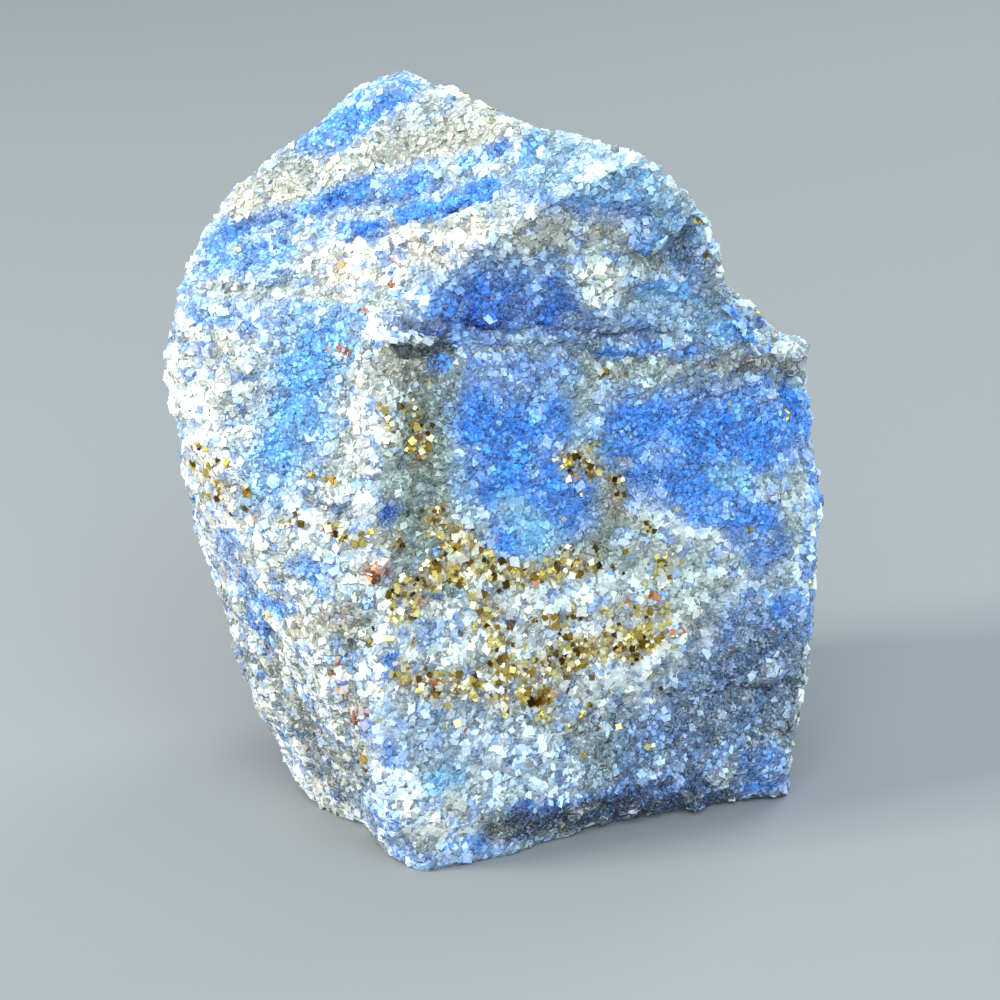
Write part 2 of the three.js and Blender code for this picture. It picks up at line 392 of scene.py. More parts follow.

# %% [markdown]
# ## Where each mineral lies
# The strokes below say where the eye sees blue, white, grey, gold and rust, and where shade is painted
# on. Reading them is like reading the stone: beds of grey and blue cross the shoulder, the left side
# fades to white calcite, a gold seam of pyrite runs under the blue of the front.

# %% Blue strokes
BLUE = {
    "top": (20, 0.85, [(398, 84), (345, 120), (312, 143)]),
    "shoulder bed": (14, 0.80, [(212, 242), (255, 225), (300, 213), (350, 197), (392, 190), (432, 176)]),
    "shoulder bed, bright end": (11, 1.0, [(405, 214), (450, 203), (490, 184)]),
    "shoulder bed, upper end": (9, 0.8, [(465, 168), (500, 150)]),
    "shoulder spot": (9, 0.8, [(345, 232), (382, 232)]),
    "low shoulder bed": (11, 0.75, [(178, 285), (230, 257), (288, 246)]),
    "low shoulder patch": (12, 0.6, [(250, 272), (285, 268)]),
    "low shoulder spot": (9, 0.6, [(320, 230)]),
    "left side": (34, 0.85, [(322, 345), (298, 390), (288, 440), (268, 478)]),
    "left side, middle": (22, 1.0, [(302, 365), (294, 410)]),
    "spot left of the notch": (9, 0.8, [(437, 364)]),
    "lens under the brow": (9, 1.0, [(398, 325), (438, 325)]),
    "brow, left end": (9, 0.9, [(470, 320), (500, 318)]),
    "brow": (36, 0.85, [(455, 305), (500, 298), (540, 305)]),
    "brow, right end": (22, 0.6, [(560, 325), (640, 330)]),
    "brow, dark middle": (26, 1.0, [(485, 300), (540, 312)]),
    "front, upper": (30, 0.95, [(480, 415), (545, 420)]),
    "front, middle": (40, 0.95, [(500, 475), (552, 490)]),
    "front, lower": (24, 1.0, [(515, 530), (560, 528)]),
    "front, under the brow": (20, 0.55, [(480, 375), (560, 372)]),
    "right front": (42, 1.0, [(634, 432), (700, 430), (785, 420)]),
    "right front, lower": (34, 0.95, [(650, 468), (720, 480)]),
    "right front, below": (22, 0.8, [(700, 505), (762, 520)]),
    "right front, lowest": (20, 0.7, [(742, 530), (770, 552)]),
    "streak on the shoulder": (8, 0.85, [(602, 355), (688, 352)]),
    "beside the knob": (9, 0.8, [(642, 290), (696, 288)]),
    "over the knob": (15, 0.7, [(645, 240), (698, 240)]),
    "dome, left edge": (13, 0.8, [(518, 180), (540, 145)]),
    "dome, top": (11, 0.7, [(572, 146)]),
    "dome, across": (34, 0.68, [(545, 175), (640, 190), (700, 250)]),
    "low shoulder, edge": (16, 0.60, [(180, 312), (260, 316), (350, 318)]),
    "low front": (40, 0.20, [(430, 740), (560, 770), (600, 760)]),
    "front edge, low": (16, 0.28, [(385, 650), (380, 840)]),
    "right lower front": (50, 0.56, [(660, 760), (740, 690), (760, 640)]),
    "right of the knob": (26, 0.45, [(660, 300), (720, 320), (700, 340)]),
    "right edge": (9, 0.7, [(806, 420), (814, 500), (812, 560), (806, 640)]),
    "dome, middle": (13, 0.7, [(605, 166), (640, 172)]),
    "dome, right": (12, 0.7, [(650, 215), (690, 255)]),
    "dome, low": (11, 0.75, [(552, 202), (578, 206)]),
    "right shoulder": (10, 0.8, [(722, 330), (744, 335)]),
    "right shoulder, edge": (7, 0.8, [(762, 320)]),
    "left edge, low": (10, 0.7, [(222, 540), (248, 586)]),
    "left edge, lower": (9, 0.7, [(247, 596), (290, 608)]),
    "left foot streak": (9, 0.7, [(253, 616), (268, 638)]),
    "under the crease": (9, 0.7, [(303, 566), (328, 586)]),
    "front edge, upper": (7, 0.75, [(390, 652), (388, 690)]),
    "front edge, middle": (12, 0.75, [(370, 725), (392, 758)]),
    "front edge, lower": (9, 0.8, [(380, 786), (392, 838)]),
    "low blotch": (17, 0.7, [(438, 777), (452, 778)]),
    "foot, middle": (12, 0.8, [(455, 850), (508, 846)]),
    "foot, left": (11, 0.8, [(398, 856), (445, 870)]),
    "foot step": (8, 0.9, [(662, 803), (698, 800)]),
    "beside the olive column": (11, 0.9, [(387, 512)]),
    "right side spot": (9, 0.7, [(755, 592)]),
    "right side": (13, 0.7, [(772, 605), (800, 600)]),
    "right streaks": (14, 0.38, [(702, 660), (798, 655)]),
    "right lower streak": (12, 0.6, [(652, 735), (698, 735)]),
    "right foot": (19, 0.75, [(755, 766), (792, 760)]),
    # Partly painted shade: the deep blue under the stone is blue grains and the shadow of the undercut.
    "undercut": (15, 0.9, [(520, 818), (600, 806), (680, 798), (780, 794)]),
}
NAVY = {
    "lens under the brow": (10, 1.0, [(400, 324), (440, 325)]),
    "brow, left end": (9, 0.9, [(470, 320), (500, 318)]),
    "brow": (26, 0.45, [(480, 300), (545, 312)]),
    "beside the olive column": (10, 0.8, [(387, 512)]),
    "front, low right edge": (7, 0.7, [(582, 530), (590, 548)]),
    "beside the rust": (7, 0.8, [(620, 508)]),
    "dome, flecks": (9, 0.6, [(620, 205), (655, 225), (690, 262)]),
    # Painted shade: navy in the undercut under the stone.
    "undercut": (14, 0.8, [(500, 832), (560, 818), (640, 806), (720, 800)]),
    "brow edge, right": (8, 0.5, [(560, 332), (680, 338)]),
    # Painted shade: navy on the right side turned from the lamp.
    "shadowed right side": (30, 0.35, [(690, 730), (770, 660)]),
}
PALE_BLUE = {
    "right of the knob": (26, 0.6, [(660, 300), (720, 320)]),
    "front cloud": (20, 0.9, [(515, 508), (545, 545)]),
    "front, left edge": (9, 0.6, [(462, 470), (470, 520)]),
    "right front spot": (8, 0.9, [(738, 411)]),
    "right front cloud": (13, 0.9, [(722, 470), (735, 476)]),
    "right front, edge": (10, 0.6, [(795, 470), (800, 520)]),
    "front to the right": (18, 0.5, [(575, 395), (590, 450)]),
    "dome": (34, 0.7, [(560, 160), (640, 175), (690, 230)]),
    "low blotch": (24, 0.8, [(438, 777), (452, 778)]),
    "left side": (40, 0.38, [(322, 345), (298, 390), (288, 440), (268, 478)]),
    "left side, right edge": (10, 0.6, [(340, 340), (345, 400)]),
}

# %% Calcite strokes
WHITE = {
    "left edge": (26, 0.80, [(182, 332), (192, 400), (212, 480), (226, 560)]),
    "under the shoulder": (14, 0.40, [(205, 302), (300, 306)]),
    "spot beside the crease": (15, 1.0, [(365, 505)]),
    "dome": (10, 0.5, [(550, 166), (598, 166)]),
    "knob": (17, 0.7, [(604, 276), (600, 304)]),
    "low left spot": (11, 0.9, [(295, 640)]),
    "low front": (24, 0.9, [(482, 760), (545, 752)]),
    "under the seam": (18, 0.9, [(600, 700), (650, 690)]),
    "left of the seam": (18, 0.7, [(410, 640), (450, 640)]),
    "low front, warm": (24, 0.8, [(405, 815), (445, 812)]),
    "shoulder strip": (6, 0.6, [(752, 345), (798, 345)]),
    "lip under the nose": (5, 1.0, [(388, 341), (424, 341)]),
    "front under the gold": (50, 0.85, [(500, 620), (640, 680)]),
    "band ledge": (20, 0.6, [(345, 272), (400, 252), (470, 232)]),
    "lip of the upper ledge": (4, 1.0, [(345, 249), (385, 237), (430, 230), (470, 212)]),
    "front edge": (14, 0.7, [(372, 400), (370, 470)]),
    # Painted light: white along the low front edge stands in for the strip lit where the ridge catches the
    # lamp.
    "front edge, low": (13, 1.0, [(392, 610), (388, 700), (392, 800)]),
    "around the crease": (30, 0.5, [(300, 500), (360, 530)]),
    "gold seam, right": (40, 0.6, [(600, 600), (640, 690)]),
    "right of the low blotch": (22, 0.8, [(480, 790), (560, 790)]),
    "over the right facet": (22, 0.6, [(640, 560), (680, 600)]),
    "right of the blue": (14, 0.7, [(660, 520), (700, 535)]),
    "left foot": (16, 0.7, [(275, 690), (320, 790)]),
}
GREY = {
    "shoulder bed": (26, 1.0, [(245, 200), (350, 160), (430, 145), (500, 115)]),
    "shoulder, under the low bed": (10, 0.7, [(200, 292), (270, 290), (345, 296)]),
    "notch": (14, 0.8, [(392, 362), (432, 370)]),
    "olive column": (27, 0.9, [(425, 378), (420, 450), (425, 530)]),
    "under the brow": (18, 0.7, [(552, 375), (648, 375)]),
    "right shoulder": (11, 0.8, [(702, 362), (798, 366)]),
    "over the brow": (17, 0.6, [(532, 232), (558, 232)]),
    "over the knob": (10, 0.6, [(595, 222), (638, 222)]),
    "knob tail": (8, 0.7, [(612, 268), (648, 258)]),
    "low left": (17, 0.7, [(284, 620), (346, 620)]),
    "right side": (26, 0.6, [(690, 600), (750, 620)]),
    "beside the gold": (18, 0.6, [(600, 540), (660, 560)]),
    "between the blues": (13, 1.0, [(600, 448), (612, 500), (602, 550)]),
    "right low": (26, 0.4, [(600, 750), (740, 700)]),
}
OLIVE = {
    "olive column": (30, 1.0, [(425, 372), (420, 450), (420, 540)]),
    "knob": (20, 0.9, [(602, 274), (600, 306)]),
    "under the brow": (18, 0.6, [(552, 375), (648, 375)]),
    "right of the gold": (26, 0.5, [(600, 520), (690, 600)]),
    "low front": (30, 0.55, [(500, 790), (620, 770), (640, 720)]),
    "between the blues": (14, 0.9, [(600, 448), (612, 500), (602, 550)]),
    "right of the facet": (18, 0.5, [(680, 690), (720, 660)]),
}
WARM = {
    "band ledge": (24, 0.9, [(345, 272), (400, 252), (470, 232)]),
    "shoulder bed": (22, 0.45, [(245, 200), (350, 160), (430, 145), (500, 115)]),
    "under the notch": (14, 0.9, [(392, 362), (432, 370)]),
    "shoulder bed, left end": (14, 0.8, [(238, 206), (292, 195)]),
    "low left": (18, 0.8, [(284, 618), (346, 622)]),
    "left of the crease": (20, 0.6, [(205, 470), (245, 510)]),
    "knob": (14, 0.5, [(603, 280), (600, 304)]),
    "left face": (45, 0.30, [(200, 340), (225, 500), (260, 600)]),
    "nose ridge": (16, 0.45, [(372, 350), (368, 470)]),
    "low left, wide": (45, 0.40, [(280, 640), (330, 760)]),
    "olive column": (18, 0.20, [(420, 390), (420, 470)]),
    "gold seam": (26, 0.35, [(410, 590), (520, 610), (640, 640)]),
    "right side": (18, 0.8, [(700, 628), (732, 632)]),
    "low front": (24, 0.5, [(405, 815), (445, 812)]),
    "between the blues": (12, 0.6, [(602, 450), (614, 500), (640, 540)]),
    "low seam": (24, 0.5, [(410, 690), (540, 690)]),
    "over the brow": (17, 0.6, [(532, 235), (640, 222)]),
    "right shoulder": (10, 0.7, [(702, 362), (798, 366)]),
}
# Painted shade: darker colour in the notch, crevices, creases, the undercut, the foot and the faces turned
# from the lamp, where shade falls.
PAINTED_SHADE = {
    "notch under the nose": (6, 0.8, [(402, 351), (448, 346)]),
    "under the notch": (11, 0.5, [(392, 364), (430, 366)]),
    "crevice beside the dome": (5, 0.6, [(695, 225), (655, 265)]),
    "crease of the left side": (8, 0.4, [(310, 497), (345, 513)]),
    "right facet": (5, 0.4, [(700, 660), (600, 730)]),
    "lower right line": (5, 0.5, [(652, 790), (700, 786)]),
    "olive column": (20, 0.1, [(430, 380), (425, 530)]),
    "lower right": (55, 0.3, [(650, 740), (760, 690)]),
    "undercut": (15, 0.9, [(500, 832), (560, 818), (640, 806), (720, 800)]),
    "undercut, right end": (8, 0.8, [(720, 800), (790, 797)]),
    "lower right face": (40, 0.50, [(690, 720), (770, 650), (780, 720)]),
    "dome, right side": (18, 0.4, [(690, 250), (720, 300)]),
    "dome": (36, 0.22, [(560, 170), (660, 190)]),
    "right shoulder": (16, 0.25, [(700, 345), (795, 365)]),
    "lower right foot": (22, 0.3, [(690, 780), (780, 770)]),
    "low left chips": (7, 0.4, [(262, 642), (290, 700), (322, 778)]),
    "left foot": (5, 0.5, [(300, 700), (330, 770), (345, 800)]),
}
COARSE = {
    "olive column": (28, 0.9, [(425, 372), (420, 540)]),
    "under the seam": (80, 1.0, [(430, 640), (540, 700), (560, 780)]),
    "lower right": (70, 1.0, [(680, 740), (760, 690)]),
    "low left": (45, 0.7, [(270, 620), (330, 760)]),
    "right shoulder": (30, 0.6, [(660, 370), (790, 350)]),
}

# %% Pyrite and rust strokes
GOLD = {
    "seam, upper left": (13, 0.85, [(434, 520), (462, 545)]),
    "seam, left": (15, 0.75, [(402, 585), (440, 575), (470, 560)]),
    "seam, left, low": (12, 0.65, [(398, 610), (425, 596)]),
    "seam, upper middle": (12, 0.85, [(472, 562), (530, 574), (588, 566)]),
    "seam, middle": (12, 0.65, [(476, 595), (494, 645)]),
    "seam, low middle": (12, 0.85, [(490, 666), (548, 668)]),
    "seam, low right": (16, 0.85, [(552, 658), (600, 648), (648, 640)]),
    "seam, right end": (11, 0.50, [(610, 622), (660, 612)]),
    "seam, low left": (14, 0.70, [(404, 680), (448, 688)]),
    "seam, spot above": (7, 0.50, [(536, 618), (575, 612)]),
    "under the seam": (11, 0.80, [(525, 690), (548, 706)]),
    "under the seam, left": (9, 0.60, [(470, 690), (500, 702)]),
    "right of the spot": (6, 0.60, [(618, 455), (628, 462)]),
    "front edge": (8, 0.70, [(392, 620)]),
    "over the seam": (8, 0.60, [(358, 536), (398, 538)]),
    "spot right of the blue": (13, 0.75, [(568, 460), (592, 460)]),
    "speck row": (8, 0.60, [(614, 478), (618, 490)]),
    "speck by the seam": (5, 0.8, [(645, 525)]),
    "right of the seam": (10, 0.4, [(668, 552), (652, 600)]),
    "left side": (15, 0.30, [(202, 462), (240, 510)]),
    "left of the crease": (9, 0.5, [(284, 518), (298, 526)]),
    "under the crease": (9, 0.5, [(332, 525), (344, 542)]),
    "speck on the left side": (5, 0.6, [(325, 483)]),
    "speck on the top": (5, 0.6, [(275, 146)]),
    "speck on the shoulder": (4, 0.6, [(243, 180)]),
    "speck on the dome edge": (5, 0.8, [(702, 222)]),
    "speck under the dome": (5, 0.7, [(708, 258)]),
    "speck on the right shoulder": (5, 0.8, [(740, 364)]),
    "speck under the brow": (7, 0.5, [(602, 376), (614, 378)]),
    "olive column": (10, 0.45, [(412, 405), (422, 460)]),
    "nose ridge": (6, 0.35, [(385, 410), (392, 440)]),
    "scattered under the blue": (70, 0.07, [(430, 620), (560, 680), (620, 620)]),
}
RUST = {
    "left end of the seam": (10, 0.7, [(366, 572), (388, 564)]),
    "left of the nose": (6, 0.8, [(342, 355)]),
    "band ledge, left": (5, 0.6, [(340, 265)]),
    "band ledge": (5, 0.7, [(393, 255)]),
    "band ledge, low": (4, 0.7, [(393, 283)]),
    "band ledge, edge": (4, 0.6, [(352, 300)]),
    "above the left side": (4, 0.6, [(368, 315)]),
    "right of the seam": (7, 0.8, [(612, 500)]),
    "front edge": (8, 0.4, [(335, 665), (352, 700), (365, 725)]),
    "dome": (4, 0.6, [(552, 168)]),
    "dome, right": (4, 0.5, [(575, 160)]),
    "right shoulder": (5, 0.7, [(744, 363)]),
    "low seam": (9, 0.35, [(410, 690), (425, 682)]),
}
patches = (BLUE, NAVY, PALE_BLUE, WHITE, GREY, OLIVE, WARM, PAINTED_SHADE, COARSE, GOLD, RUST)
print("strokes:", sum(map(len, patches)))

# %% [markdown]
# ## One answer for any point
# `minerals` gives, for each point, how much of each mineral is there. The skin's vertices and the
# crystals ask the same function, so a crystal always has the colour of the rock it grew in. On the
# back and sides the same kinds of patches come from noise: blue clouds drawn out along the beds,
# pale calcite between them, and pyrite in small nests.
#
# Ridges are made whiter and lighter: partly the real bruise where the stone broke, partly painted
# highlight. Hollows are darkened with painted shade. How far a vertex stands out of its surroundings
# tells the two apart: `bulge` smooths a copy of the skin and measures the step from the smooth copy to the
# real one.

# %% Mineral map
BULGE_ROUNDS = 30
RIDGE_BULGE, HOLLOW_BULGE = (0.12, 0.60), (0.03, 0.42)
# Ridges are lightened, partly by bruising and partly as painted highlight; hollows get painted shade.
RIDGE_BRUISE_AND_HIGHLIGHT, HOLLOW_SHADE = 0.22, 0.55
RIDGE_LESS_BLUE, RIDGE_MORE_WHITE = 0.35, 0.40
STREAK_SIZE, STREAK_SQUEEZE = 15.0, 3.2
FINE_SIZE, FINE_SQUEEZE = 3.2, 1.8
FLECK_SIZE, NEST_SIZE = 1.3, 6.5
MOTTLE_SIZES = (1.9, 5.0)


def ramp(values, low, high):
    """0 below low, 1 above high, smooth between."""
    share = np.clip((values - low) / (high - low), 0, 1)
    return share * share * (3 - 2 * share)


def bulge(mesh, places, normals):
    """How far each vertex stands out of its surroundings, in mm."""
    ends = np.empty(len(mesh.edges) * 2, np.int32)
    mesh.edges.foreach_get("vertices", ends)
    one, two = ends.reshape(-1, 2).T
    count = len(places)
    neighbours = np.bincount(one, minlength=count) + np.bincount(two, minlength=count)
    smooth = places.copy()
    for _ in range(BULGE_ROUNDS):
        for axis in range(3):
            line = smooth[:, axis]
            total = np.bincount(one, line[two], count) + np.bincount(two, line[one], count)
            smooth[:, axis] = total / neighbours
    return np.einsum("ij,ij->i", places - smooth, normals)


def bruised_and_shaded(at, bulges):
    """The mineral map with ridges lightened, partly bruise and partly painted highlight, and painted shade
    in hollows.
    """
    ridge, hollow = ramp(bulges, *RIDGE_BULGE), ramp(-bulges, *HOLLOW_BULGE)
    at["blue"] = at["blue"] * (1 - RIDGE_LESS_BLUE * ridge)
    at["white"] = np.clip(at["white"] + RIDGE_MORE_WHITE * ridge, 0, 1)
    # A brightness factor: painted highlight on ridges and painted shade in hollows.
    at["light"] = (1 + RIDGE_BRUISE_AND_HIGHLIGHT * ridge) * (1 - HOLLOW_SHADE * hollow)
    return at


def minerals(points, normals):
    """The share of each mineral at each point, as a dictionary of arrays from 0 to 1."""
    pixels = wander(points, to_photo(points))
    seen = faces_photo(points, normals)
    streaks = cloud(along_beds(points, STREAK_SQUEEZE), STREAK_SIZE, 8, 4)
    fine = cloud(along_beds(points, FINE_SQUEEZE), FINE_SIZE, 9, 3)
    nests = cloud(points, NEST_SIZE, 10, 3)

    def both(strokes, from_noise):
        return seen * strokes_at(pixels, strokes) + (1 - seen) * from_noise

    flecks = 0.5 * ramp(cloud(along_beds(points, FINE_SQUEEZE), FLECK_SIZE, 12, 3), 0.06, 0.34)
    flecks = flecks * (1 - 0.8 * seen * strokes_at(pixels, GREY))
    mottle = cloud(points, MOTTLE_SIZES[0], 11, 3) + 0.8 * cloud(points, MOTTLE_SIZES[1], 13, 2)
    blue = both(BLUE, ramp(streaks + 0.35 * fine, -0.02, 0.22))
    blue = np.clip(blue * (1.02 + 0.5 * fine), 0, 1)
    return {
        "blue": np.maximum(blue, flecks),
        "mottle": mottle,
        "navy": both(NAVY, 0.4 * ramp(streaks, 0.35, 0.6)),
        "pale blue": both(PALE_BLUE, ramp(fine, 0.15, 0.5)),
        "white": np.clip(both(WHITE, ramp(-streaks, 0.1, 0.45)) + 0.3 * fine, 0, 1),
        "grey": both(GREY, ramp(-streaks + 0.5 * fine, -0.1, 0.3)),
        "olive": both(OLIVE, 0.4 * ramp(nests, 0.0, 0.4)),
        "warm": both(WARM, 0.6 * ramp(nests, 0.05, 0.4)),
        # Painted shade: the share of darkening, from the shade strokes only.
        "dark": both(PAINTED_SHADE, 0.0),
        "coarse": both(COARSE, 0.5),
        "gold": np.clip(both(GOLD, 0.7 * ramp(nests + 0.3 * fine, 0.38, 0.55)), 0, 1),
        "rust": both(RUST, 0.25 * ramp(-nests + 0.3 * fine, 0.46, 0.6)),
    }


skin_places, skin_normals = vertex_places(skin), vertex_normals(skin)
skin_map = minerals(skin_places, skin_normals)
skin_bulge = bulge(skin, skin_places, skin_normals)
skin_map = bruised_and_shaded(skin_map, skin_bulge)
print("bulge in mm, low, middle, high:", np.percentile(skin_bulge, [5, 50, 95]).round(2))
print("blue covers", round(float(skin_map["blue"].mean()) * 100), "percent of the skin")

# %% [markdown]
# ## The rock between the crystals
# The skin shows in the gaps between crystals, so it has the same colours painted darker: painted shade
# in the gaps. Its broad colour is stored on the vertices. The grains within it are drawn by a Voronoi
# pattern whose cells are as wide as a grain, 0.45 mm: each cell is darkened by its own random share,
# which gives grain tones and the painted shade, leans its own way, and is frosted where two grains
# bruised each other when the stone broke.
# A broad colour is laid in layers, as a painter glazes: each layer names a share of the mineral map,
# its strength and its colour.

# %% Skin colours
GRAIN_WIDTH = 0.45
GRAIN_DOME, GRAIN_HEIGHT = 0.3, 0.12
# The first range darkens each skin cell at random: grain tone and painted shade in the gaps between
# crystals.
CELL_TONES_AND_GAP_SHADE, CELL_ROUGHNESS = (0.35, 0.9), (0.35, 0.75)
FROSTED_GAP, GAP_FROST = (0.02, 0.12), 0.15
PALE_ROCK, BLUE_ROCK = "#a9b3b3", "#327fe0"
PALE_LAYERS = (
    ("white", 1.0, "#e9edea"),
    ("grey", 0.7, "#9a9d90"),
    ("olive", 0.5, "#8a9e90"),
    ("warm", 0.5, "#c2ab86"),
)
BLUE_LAYERS = (("pale blue", 1.0, "#84c7f4"), ("navy", 1.0, "#1c3690"))
# Gold and rust are real stains; the dark layer is painted shade.
STAINS_AND_SHADE = (("gold", 0.8, "#b59a5c"), ("rust", 0.7, "#b0602f"), ("dark", 0.8, "#4b4339"))


def mix(first, second, share):
    """Blends two lists of colours, row by row."""
    return first + (second - first) * share[:, None]


def glazed(colours, at, layers):
    """Rows of colour with layers over them."""
    for name, strength, hex_code in layers:
        colours = mix(colours, np.array(linear(hex_code)[:3]), strength * at[name])
    return colours


def broad_colour(at):
    """The colour that the eye sees from a step away, for each row of the mineral map."""
    rows = (len(at["blue"]), 1)
    pale = glazed(np.tile(linear(PALE_ROCK)[:3], rows), at, PALE_LAYERS)
    blue = glazed(np.tile(linear(BLUE_ROCK)[:3], rows), at, BLUE_LAYERS)
    return glazed(mix(pale, blue, at["blue"]), at, STAINS_AND_SHADE)


def store_colour(mesh, name, colours):
    """Writes one linear colour per vertex."""
    layer = mesh.color_attributes.new(name, "FLOAT_COLOR", "POINT")
    rows = np.ones((len(colours), 4))
    rows[:, :3] = np.clip(colours, 0, 1)
    layer.data.foreach_set("color", rows.ravel())


store_colour(skin, "broad_colour", broad_colour(skin_map))


def new_material(name):
    """An empty node material with its shader, and its tree."""
    material = bpy.data.materials.new(name)
    material.use_nodes = True
    return material, material.node_tree, material.node_tree.nodes["Principled BSDF"]


def remap(tree, value, low, high, first, last):
    """Turns a value between low and high into one between first and last."""
    ends = {"From Min": low, "From Max": high, "To Min": first, "To Max": last}
    return node(tree, "MapRange", {"Value": value, **ends}).outputs["Result"]


def blend(tree, share, below, above, way="MIX"):
    """Lays one colour over another. A Mix node takes its two colours on sockets 6 and 7."""
    made = node(tree, "Mix", {0: share, 6: below, 7: above}, data_type="RGBA", blend_type=way)
    return made.outputs[2]


rock_material, tree, rock_shader = new_material("granular_lapis_rock")
coordinates = node(tree, "TexCoord").outputs["Object"]
broad = node(tree, "Attribute", attribute_name="broad_colour").outputs["Color"]
grains = {"Vector": coordinates, "Scale": 1 / (GRAIN_WIDTH * MM)}
cells = node(tree, "TexVoronoi", grains).outputs["Color"]
cell_value = node(tree, "SeparateColor", {"Color": cells})
edge_gap = node(tree, "TexVoronoi", grains, feature="DISTANCE_TO_EDGE").outputs["Distance"]
shade = remap(tree, cell_value.outputs["Red"], 0, 1, *CELL_TONES_AND_GAP_SHADE)
shaded = blend(tree, 1.0, broad, shade, "MULTIPLY")
frost = remap(tree, edge_gap, *FROSTED_GAP, GAP_FROST, 0.0)
frosted = blend(tree, frost, shaded, linear("#dfe9ee"))
dome_height = remap(tree, edge_gap, 0.0, GRAIN_DOME, 0.0, 1.0)
grain_bump = node(tree, "Bump", {"Height": dome_height, "Strength": 0.8, "Distance": GRAIN_HEIGHT * MM})
gloss = remap(tree, cell_value.outputs["Green"], 0, 1, *CELL_ROUGHNESS)
tree.links.new(frosted, rock_shader.inputs["Base Color"])
tree.links.new(grain_bump.outputs[0], rock_shader.inputs["Normal"])
tree.links.new(gloss, rock_shader.inputs["Roughness"])
rock_shader.inputs["IOR"].default_value = 1.5
skin.materials.clear()
skin.materials.append(rock_material)

# %% [markdown]
# ## Crystals
# A grain of calcite breaks along three slanted planes, so it is a leaning box, a rhomb. Lazurite has
# no clean cleavage and breaks into uneven chips. Diopside, the grey-green mineral of this rock, grows
# as stubby prisms, and pyrite as cubes. Each kind gets a few templates made with bmesh, of half a
# dozen faces, because thousands of copies follow.

# %% Crystal templates
TEMPLATE_COUNT = 6
RHOMB_LEAN = 0.26
dice = np.random.default_rng(41)


def crystal(make):
    """Runs make on an empty bmesh and returns the shape as a list of points and a list of faces."""
    form = bmesh.new()
    make(form)
    bmesh.ops.recalc_face_normals(form, faces=form.faces)
    form.verts.index_update()
    points = np.array([v.co[:] for v in form.verts])
    faces = [[v.index for v in f.verts] for f in form.faces]
    form.free()
    return points, faces


def rhomb(form):
    """A calcite cleavage rhomb: a cube that leans, with unequal sides."""
    bmesh.ops.create_cube(form, size=1.0)
    lean = Matrix.Identity(4)
    lean[0][1] = lean[1][2] = RHOMB_LEAN
    sides = Matrix.Diagonal((dice.uniform(0.8, 1.2), dice.uniform(0.7, 1.1), dice.uniform(0.7, 1.0), 1))
    bmesh.ops.transform(form, matrix=sides @ lean, verts=form.verts)


def chip(form):
    """An uneven broken grain: a block that narrows upwards, with its corners pushed about."""
    bmesh.ops.create_cone(
        form, cap_ends=True, cap_tris=False, segments=4, radius1=0.72, radius2=0.42, depth=0.95
    )
    for corner in form.verts:
        corner.co += Vector(dice.uniform(-0.12, 0.12, 3))


def prism(form):
    """A stubby three-sided prism."""
    bmesh.ops.create_cone(
        form, cap_ends=True, cap_tris=False, segments=3, radius1=0.7, radius2=0.55, depth=0.95
    )
    for corner in form.verts:
        corner.co += Vector(dice.uniform(-0.08, 0.08, 3))


def pyrite_cube(form):
    """A pyrite cube, nearly even."""
    bmesh.ops.create_cube(form, size=0.9)
    bmesh.ops.scale(form, vec=Vector(dice.uniform(0.8, 1.15, 3)), verts=form.verts)


RHOMBS = [crystal(rhomb) for _ in range(TEMPLATE_COUNT)]
CHIPS = [crystal(chip) for _ in range(TEMPLATE_COUNT)]
PRISMS = [crystal(prism) for _ in range(TEMPLATE_COUNT)]
CUBES = [crystal(pyrite_cube) for _ in range(TEMPLATE_COUNT)]
print("faces of each template:", [len(t[0][1]) for t in (RHOMBS, CHIPS, PRISMS, CUBES)])

# %% [markdown]
# ## A place for each crystal
# Crystals need even but random spacing. Points are thrown on the skin by area, and a point that
# falls closer than the spacing to an earlier one is dropped, with a grid of cells to look up its
# neighbours quickly.

# %% Scatter
CRYSTAL_SPACING = 0.25
THROWS = 360_000
FOOT_CLEARANCE = 0.35


def throw_points(mesh, count):
    """Random points on a mesh by area, in mm, with the face's normal and a vertex close by."""
    mesh.calc_loop_triangles()
    corners = np.empty(len(mesh.loop_triangles) * 3, np.int32)
    mesh.loop_triangles.foreach_get("vertices", corners)
    places = vertex_places(mesh)[corners].reshape(-1, 3, 3)
    cross = np.cross(places[:, 1] - places[:, 0], places[:, 2] - places[:, 0])
    doubled_area = np.linalg.norm(cross, axis=1)
    chosen = dice.choice(len(places), count, p=doubled_area / doubled_area.sum())
    a, b = dice.random((2, count))
    a, b = np.where(a + b > 1, 1 - a, a), np.where(a + b > 1, 1 - b, b)
    first, second, third = places[chosen].transpose(1, 0, 2)
    points = first + (second - first) * a[:, None] + (third - first) * b[:, None]
    print("skin area:", round(float(doubled_area.sum()) / 2), "square mm")
    return points, cross[chosen] / doubled_area[chosen][:, None], corners.reshape(-1, 3)[chosen, 0]


def keep_apart(points, gap):
    """Indexes of the points that stay when none may be closer than the gap to one before it."""
    taken, kept = {}, []
    nearby = [(i, j, k) for i in (-1, 0, 1) for j in (-1, 0, 1) for k in (-1, 0, 1)]
    cells = np.floor(points / gap).astype(int).tolist()
    for index, (place, (x, y, z)) in enumerate(zip(points.tolist(), cells)):
        others = (taken.get((x + i, y + j, z + k)) for i, j, k in nearby)
        if all(other is None or math.dist(place, other) >= gap for other in others):
            taken[x, y, z] = place
            kept.append(index)
    return np.array(kept)


